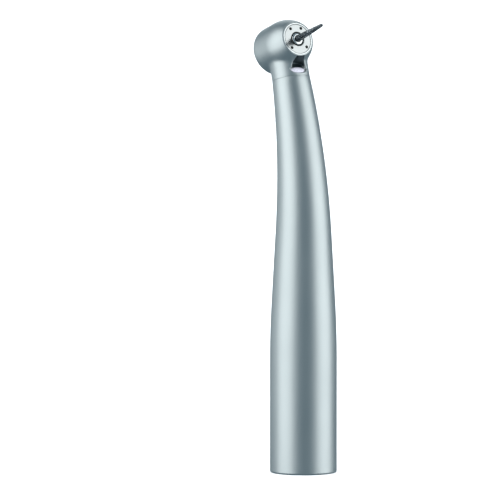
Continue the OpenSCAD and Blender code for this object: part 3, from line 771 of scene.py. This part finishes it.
def makeSpindle():
    hole, nose, rise = spindle["shankHole"], spindle["nose"], spindle["noseRound"]
    low = spindle["noseFront"] - rise
    turns = spreadTurns(5, 90, 14)
    outline = [(hole, spindle["chuckFront"])]
    outline += [(hole + (nose - hole) * math.sin(a), low + rise * math.cos(a)) for a in turns]
    radius, back, seat, end = [spindle[key] for key in ("radius", "back", "springSeat", "chuckEnd")]
    spring, plunger, chuck = [spindle[key] for key in ("springBore", "plungerHole", "chuckBore")]
    outline += [(nose, spindle["noseBack"]), (radius, spindle["front"]), (radius, back),
                (spring, back), (spring, seat), (plunger, seat), (plunger, end),
                (chuck, end), (chuck, spindle["chuckFront"])]
    return smoothed(turned("spindle", outline + outline[:1]))


dressed(makeSpindle(), headFrame, "rotor", "polished_steel", "spindle")

# bur: a ground shank with a tapered, cross-cut cutter
bur = {
    "shankRadius": 0.8, "shankEnd": rearEnd + 4.5, "shankChamfer": 0.1,
    "groove": (0.8, 0.52), "grooveDepth": 0.05, "grooveSlope": 0.06,  # before the cutter
    "neckLength": 0.2, "neckDepth": 0.06,
    "cutterStart": 1.6, "reach": 11.2, "baseRadius": 0.79, "tipRadius": 0.39, "taperPower": 1.5,
    "blades": 6, "twist": 38,
    "bladeForm": (1.0, 0.995, 0.99, 0.98, 0.97, 0.955, 0.94, 0.92, 0.895, 0.87, 0.88, 0.95),
    "stretches": 8, "ringsPerStretch": 18,
    "notchStarts": 2, "notchPitch": 0.7, "notchWidth": 0.24, "notchScale": 0.9,
    "plainEnds": (0.25, 0.05),  # left without notches
    "tipAngles": (0, 30, 60, 82),
}


def makeShank():
    radius, end, edge = bur["shankRadius"], bur["shankEnd"], bur["shankChamfer"]
    start, floor, slope = bur["cutterStart"], radius - bur["grooveDepth"], bur["grooveSlope"]
    low, high = [start - before for before in bur["groove"]]
    outline = [(0, end), (radius - edge, end), (radius, end + edge),
               (radius, low), (floor, low + slope), (floor, high - slope), (radius, high),
               (radius, start - bur["neckLength"]), (bur["baseRadius"] - bur["neckDepth"], start),
               (0, start)]
    return smoothed(turned("burShank", outline, 64))


def makeCutter():
    start, base, tip = bur["cutterStart"], bur["baseRadius"], bur["tipRadius"]
    count, length = len(bur["bladeForm"]), bur["reach"] - tip - start
    step = 2 * math.pi / (bur["blades"] * count)
    piece = started("burCutter", bpy.ops.mesh.primitive_circle_add,
                    vertices=bur["blades"] * count, radius=base, fill_type="NOTHING")
    bpy.ops.object.mode_set(mode="EDIT")
    # the ring is drawn in point by point to the section of the blades
    for place, form in enumerate(bur["bladeForm"]):
        pickPoints(piece, lambda co: round(math.atan2(co.y, co.x) / step) % count == place)
        bpy.ops.transform.resize(value=(form, form, 1), center_override=(0, 0, 0))
    # drawn up to the tip in stretches, tapered and twisted
    bpy.ops.mesh.select_all(action="SELECT")
    stretches = bur["stretches"]
    stretch, turn = length / stretches, math.radians(bur["twist"] / stretches)
    widths = [base - (base - tip) * along ** bur["taperPower"] for along in spread(0, 1, stretches)]
    for i in range(stretches):
        middle = (0, 0, (i + 1) * stretch)
        share = widths[i + 1] / widths[i]
        bpy.ops.mesh.extrude_region_move(TRANSFORM_OT_translate={"value": (0, 0, stretch)})
        bpy.ops.transform.resize(value=(share, share, 1), center_override=middle)
        bpy.ops.transform.rotate(value=turn, orient_axis="Z", center_override=middle)
    # rings for the cross cuts: only the upright edges are divided
    mesh = bmesh.from_edit_mesh(piece.data)
    for edge in mesh.edges:
        edge.select_set(abs(edge.verts[0].co.z - edge.verts[1].co.z) > stretch / 2)
    bmesh.update_edit_mesh(piece.data)
    bpy.ops.mesh.subdivide(number_cuts=bur["ringsPerStretch"])

    first, last = bur["plainEnds"][0], length - bur["plainEnds"][1]

    def inNotch(co):
        around = math.atan2(co.y, co.x) / (2 * math.pi)
        along = co.z / bur["notchPitch"] + bur["notchStarts"] * around
        return first < co.z < last and (along % 1) * bur["notchPitch"] < bur["notchWidth"]

    pickPoints(piece, inNotch)
    bpy.ops.transform.resize(value=(bur["notchScale"], bur["notchScale"], 1), center_override=(0, 0, 0))
    # rounded tip
    pickPoints(piece, lambda co: co.z > length - 2 * mergeGap)
    turns = [math.radians(a) for a in bur["tipAngles"]]
    for a, b in zip(turns, turns[1:]):
        rise, narrower = tip * (math.sin(b) - math.sin(a)), math.cos(b) / math.cos(a)
        bpy.ops.mesh.extrude_region_move(TRANSFORM_OT_translate={"value": (0, 0, rise)})
        bpy.ops.transform.resize(value=(narrower, narrower, 1))
    bpy.ops.mesh.edge_face_add()
    pickPoints(piece, lambda co: co.z < 2 * mergeGap)
    bpy.ops.mesh.edge_face_add()
    closeUp()
    bpy.ops.object.mode_set(mode="OBJECT")
    moved(piece, Matrix.Translation((0, 0, start)))
    return smoothed(piece, 25)


dressed(makeShank(), headFrame, "bur", "shank_steel", "bur_shank")
dressed(makeCutter(), headFrame, "bur", "carbide", "bur_cutter")


def makeLens():
    crown, back, low = port["crown"], port["setBack"], -port["lensDepth"]
    bevelWidth, bevelHeight = port["lensBevel"]
    outline = [(0, low), (1, low), (1, -back - bevelHeight)]
    outline += [(x, crown * (1 - x * x) - back) for x in spread(1 - bevelWidth, 0, 12)]
    return smoothed(turned("lightLens", outline, 72))


dressed(makeLens(), overLens(0), "handle", "lens_glass", "light_lens")

# rear cap of the head, with four pin holes for its key
cap = {"radius": 4.7, "back": rearEnd + 0.05, "chamfer": 0.12, "lip": 3.12, "lipFront": rearEnd + 0.42,
       "ringGroove": (rearEnd + 0.7, rearEnd + 1.2), "grooveFloor": 4.28,
       "bearingBack": rearEnd + 2.22, "hole": 2.3, "webBack": rearEnd + 1.8, "buttonBore": 3.62,
       "pinCircle": 3.92, "pinHole": 0.34, "pinDepth": 0.5, "pinAngles": (45, 135, 225, 315),
       "pinFlare": 0.16, "flareDepth": 0.06}


def makeCap():
    radius, edge, back, front = cap["radius"], cap["chamfer"], cap["back"], hollow["capFront"]
    low, high = cap["ringGroove"]
    outline = [(cap["lip"], back + edge), (cap["lip"] + edge, back),
               (radius - edge, back), (radius, back + edge),
               (radius, low), (cap["grooveFloor"], low), (cap["grooveFloor"], high), (radius, high),
               (radius, front), (hollow["bearing"], front), (hollow["bearing"], cap["bearingBack"]),
               (cap["hole"], cap["bearingBack"]), (cap["hole"], cap["webBack"]),
               (cap["buttonBore"], cap["webBack"]), (cap["buttonBore"], cap["lipFront"]),
               (cap["lip"], cap["lipFront"])]
    piece = turned("backCap", outline + outline[:1], 128)
    hole, top, floor = cap["pinHole"], back - overlap, back + cap["pinDepth"]
    drill = [(0, top), (hole + cap["pinFlare"], top), (hole, back + cap["flareDepth"]),
             (hole, floor), (0, floor)]
    return smoothed(drilled(piece, drill, cap["pinAngles"], cap["pinCircle"]))


dressed(makeCap(), headFrame, "handle", "cap_steel", "back_cap")

# push button: a low dome with a fine turned ring
button = {"radius": 3.05, "crown": rearEnd - 0.32, "dome": 0.3, "corner": 0.15,
          "flange": 3.55, "flangeFront": rearEnd + 0.75, "flangeBack": rearEnd + 0.45,
          "stem": 0.9, "stemEnd": rearEnd + 1.55,
          "ringAt": 2.3, "ringDepth": 0.05, "ringFloor": 0.05, "ringMouth": 0.1}


def makeButton():
    radius, dome, corner = button["radius"], button["dome"], button["corner"]
    ball = (radius ** 2 + dome ** 2) / (2 * dome)

    def crownPoint(x, sink=0):
        return x, button["crown"] + ball - math.sqrt(ball ** 2 - x ** 2) + sink

    stem, flange, edge = button["stem"], button["flange"], crownPoint(radius - corner)
    front, back = button["flangeFront"], button["flangeBack"]
    outline = [(0, button["stemEnd"]), (stem, button["stemEnd"]), (stem, front),
               (flange, front), (flange, back), (radius, back)]
    outline += arc((radius - corner, edge[1] + corner), corner, 0, -80, 5)
    ring, sink, floor, mouth = [button[key] for key in ("ringAt", "ringDepth", "ringFloor", "ringMouth")]
    outline += [crownPoint(x) for x in spread(radius - 2 * corner, ring + mouth, 3)]
    outline += [crownPoint(ring + floor, sink), crownPoint(ring - floor, sink)]
    outline += [crownPoint(x) for x in spread(ring - mouth, 0, 8)]
    return smoothed(turned("pushButton", outline, 128), 40)


dressed(makeButton(), headFrame, "button", "polished_steel", "push_button")

# springs behind the button: a cone-shaped coil, and a pair of dished washers that keep the chuck closed
springs = {
    "wire": 0.12, "turns": 3, "pointsPerTurn": 24, "wide": 3.3, "narrow": 1.3,
    "coilFront": rearEnd + 1.66, "coilBack": rearEnd + 0.89, "coilSeat": rearEnd + 1.79,
    "coilPressed": 0.32,  # share of its length when the button is down
    "washer": (0.7, 1.15), "washerThick": 0.1, "dish": 0.24,
    "washerFront": rearEnd + 2.89, "washerBack": rearEnd + 2.29, "washerSeat": rearEnd + 2.9,
    "washerPressed": 0.33,
}


def makeButtonSpring():
    count = springs["turns"] * springs["pointsPerTurn"]
    turns = spread(0, 2 * math.pi * springs["turns"], count)
    radii = spread(springs["wide"], springs["narrow"], count)
    heights = spread(springs["coilFront"], springs["coilBack"], count)
    coil = drawnLine("buttonSpring", [(radius * math.cos(turn), radius * math.sin(turn), height)
                                      for turn, radius, height in zip(turns, radii, heights)])
    coil.data.bevel_depth = springs["wire"]
    coil.data.bevel_resolution = 2
    coil.data.use_fill_caps = True
    makeActive(coil)
    bpy.ops.object.convert(target="MESH")
    return smoothed(coil, 60)


def makeWasher(front, rise):
    (inside, outside), thick = springs["washer"], springs["washerThick"]
    outline = [(inside, front), (outside, front + rise),
               (outside, front + rise - thick), (inside, front - thick)]
    return turned("chuckSprings", outline + outline[:1], 64)


def makeChuckSprings():
    first = makeWasher(springs["washerFront"], -springs["dish"])
    return smoothed(joined(first, makeWasher(springs["washerBack"], springs["dish"]), "UNION"))


coil = dressed(makeButtonSpring(), headFrame, "handle", "spring_steel", "button_spring")
washers = dressed(makeChuckSprings(), headFrame, "rotor", "spring_steel", "chuck_springs")
for piece, joint, seat, pressed in (
        (coil, "button_press", springs["coilSeat"], springs["coilPressed"]),
        (washers, "chuck_release", springs["washerSeat"], springs["washerPressed"])):
    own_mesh(piece)

# socket body, seen from the rear end
core = {
    "tail": 6.0, "tailLength": 2.3, "radius": 7.45, "top": 26.5, "topChamfer": 0.4,
    "waist": 6.75, "waistRun": (6.8, 19.5), "waistSlope": 0.6, "ringGroove": (22.6, 23.5),
    "mouth": 0.35, "entry": 5.4, "entryDepth": 6.3, "latch": (3.2, 4.2), "latchFloor": 6.15,
    "seal": 4.2, "sealEnd": 19.0, "nose": 1.45, "noseEnd": 24.5,
    "exhaustCircle": 5.05, "exhaustHole": 0.6, "exhaustAngles": (40, 70, 160, 290, 320),
    "guideAt": 5.35, "guideHole": 0.98,
}


def makeCore():
    radius, waist, top, entry = core["radius"], core["waist"], core["top"], core["entry"]
    (waistLow, waistHigh), slope, edge = core["waistRun"], core["waistSlope"], core["topChamfer"]
    (ringLow, ringHigh), (latchLow, latchHigh) = core["ringGroove"], core["latch"]
    outside = [(core["tail"], 0), (core["tail"], core["tailLength"]), (radius, core["tailLength"]),
               (radius, waistLow), (waist, waistLow + slope),
               (waist, waistHigh - slope), (radius, waistHigh),
               (radius, ringLow), (waist, ringLow), (waist, ringHigh), (radius, ringHigh),
               (radius, top - edge), (radius - edge, top), (0, top)]
    inside = [(0, core["noseEnd"]), (core["nose"], core["noseEnd"]), (core["nose"], core["sealEnd"]),
              (core["seal"], core["sealEnd"]), (core["seal"], core["entryDepth"]),
              (entry, core["entryDepth"]), (entry, latchHigh), (core["latchFloor"], latchHigh),
              (core["latchFloor"], latchLow), (entry, latchLow),
              (entry, core["mouth"]), (entry + core["mouth"], 0)]
    piece = turned("connectionCore", outside + inside + outside[:1], 128)
    low, high = core["entryDepth"] - 2 * overlap, top + 2 * overlap
    drilled(piece, rod(core["exhaustHole"], low, high), core["exhaustAngles"], core["exhaustCircle"])
    drilled(piece, rod(core["guideHole"], low, high), (0,), core["guideAt"])
    return smoothed(piece)


dressed(makeCore(), handleFrame, "handle", "core_aluminium", "connection_core")

# slotted ring that holds the socket body in the sleeve
nut = {"inside": 6.05, "outside": 7.5, "length": 2.25, "chamfer": 0.15,
       "slotWidth": 1.4, "slotDepth": 0.9, "slotFloor": 6.55, "slotAngles": (0, 90, 180, 270)}


def makeNut():
    inside, outside, length, edge = nut["inside"], nut["outside"], nut["length"], nut["chamfer"]
    outline = [(inside, edge), (inside + edge, 0), (outside - edge, 0), (outside, edge),
               (outside, length), (inside, length)]
    piece = turned("retainingNut", outline + outline[:1], 128)
    for angle in nut["slotAngles"]:
        tool = started("slot", bpy.ops.mesh.primitive_cube_add, size=1,
                       location=(nut["slotFloor"] + clearance, 0, 0))
        tool.scale = (2 * clearance, nut["slotWidth"], 2 * nut["slotDepth"])
        bpy.ops.object.transform_apply(location=True, rotation=True, scale=True)
        joined(piece, moved(tool, Matrix.Rotation(math.radians(angle), 4, "Z")), "DIFFERENCE")
    return smoothed(piece)


dressed(makeNut(), handleFrame, "handle", "cap_steel", "retaining_nut")
print("pieces made")

# studio: soft boxes beside the camera's line and behind, a pale floor lit from above, white all round
camera = {"azimuth": 56.5, "elevation": 4.8, "distance": 1.8, "pixelsPerMm": 4.133, "image": 500,
          "rearEndPixel": (303.35, 471.8), "sensor": 36.0}


def viewBasis(azimuth, elevation):
    a, e = math.radians(azimuth), math.radians(elevation)
    towards = Vector((math.sin(a) * math.cos(e), -math.cos(a) * math.cos(e), math.sin(e)))
    right = Vector((math.cos(a), math.sin(a), 0))
    return towards, right, towards.cross(right)


def setCamera():
    towards, right, up = viewBasis(camera["azimuth"], camera["elevation"])
    middle = camera["image"] / 2
    aside = (middle - camera["rearEndPixel"][0]) / camera["pixelsPerMm"] * mm
    above = (camera["rearEndPixel"][1] - middle) / camera["pixelsPerMm"] * mm
    target = right * aside + up * above
    bpy.ops.object.camera_add(location=target + towards * camera["distance"])
    eye = bpy.context.object
    eye.rotation_euler = towards.to_track_quat("Z", "Y").to_euler()
    eye.data.sensor_width = camera["sensor"]
    width = camera["image"] / camera["pixelsPerMm"] * mm
    eye.data.lens = camera["sensor"] * camera["distance"] / width
    eye.data.clip_start = 0.01
    bpy.context.scene.camera = eye


softBoxes = {
    "left": {"fromCamera": -66, "elevation": 16, "distance": 1.2, "size": (1.56, 2.16), "power": 15.4},
    "rear": {"fromCamera": -122, "elevation": 4, "distance": 0.6, "size": (0.5, 0.4), "power": 0.24},
    "right": {"fromCamera": 77, "elevation": 9, "distance": 1.2, "size": (1.44, 1.8), "power": 11.8},
    "back": {"fromCamera": 180, "elevation": 12, "distance": 1.2, "size": (0.8, 1.6), "power": 3.2},
}
studio = {
    "aim": Vector((0, 0, 0.06)),  # the soft boxes look at the middle of the handle
    "boxColour": "#f4fafc",
    "overhead": 2.5,
    "floorSize": 9.0,
    "floorPower": 420,
    "floorColour": "#fbfbfb",
    "dim": "#607683",  # what the metal sees between the soft boxes
    "white": "#ffffff",  # what the camera sees behind the handpiece
}


def setSoftBox(name, box):
    towards = viewBasis(camera["azimuth"] + box["fromCamera"], box["elevation"])[0]
    place = studio["aim"] + towards * box["distance"]
    light = started(name, bpy.ops.object.light_add, type="AREA", location=place)
    light.rotation_euler = towards.to_track_quat("Z", "Y").to_euler()
    light.data.shape = "RECTANGLE"
    light.data.size, light.data.size_y = box["size"]
    light.data.energy = box["power"]
    light.data.color = linear(studio["boxColour"])[:3]
    light.visible_camera = False


def setFloor():
    place = (0, 0, studio["overhead"])
    overhead = started("overheadLight", bpy.ops.object.light_add, type="AREA", location=place)
    overhead.data.size = studio["floorSize"]
    overhead.data.energy = studio["floorPower"]
    overhead.visible_camera = False
    overhead.visible_glossy = False
    floor = started("floor", bpy.ops.mesh.primitive_plane_add, size=studio["floorSize"])
    floor.visible_glossy = False  # the steel shows the dim room and not the floor
    floor.visible_shadow = False
    # matt white paper: even and without a shine
    material, tree = newMaterial("paleFloor")
    closeMaterial(tree, addNode(tree, "ShaderNodeBsdfDiffuse", {"Color": linear(studio["floorColour"])}))
    floor.data.materials.append(material)


def setRoom():
    world = bpy.data.worlds.new("studio")
    bpy.context.scene.world = world
    world.use_nodes = True
    tree = world.node_tree
    tree.nodes.clear()
    dim = addNode(tree, "ShaderNodeBackground", {"Color": linear(studio["dim"])})
    white = addNode(tree, "ShaderNodeBackground", {"Color": linear(studio["white"])})
    seen = addNode(tree, "ShaderNodeLightPath").outputs["Is Camera Ray"]
    mixed = addNode(tree, "ShaderNodeMixShader", {0: seen, 1: dim.outputs[0], 2: white.outputs[0]})
    addNode(tree, "ShaderNodeOutputWorld", {"Surface": mixed.outputs[0]})


setCamera()
for side, box in softBoxes.items():
    setSoftBox(side + "SoftBox", box)
setFloor()
setRoom()
bpy.context.scene.view_settings.view_transform = "Standard"
print("studio set")
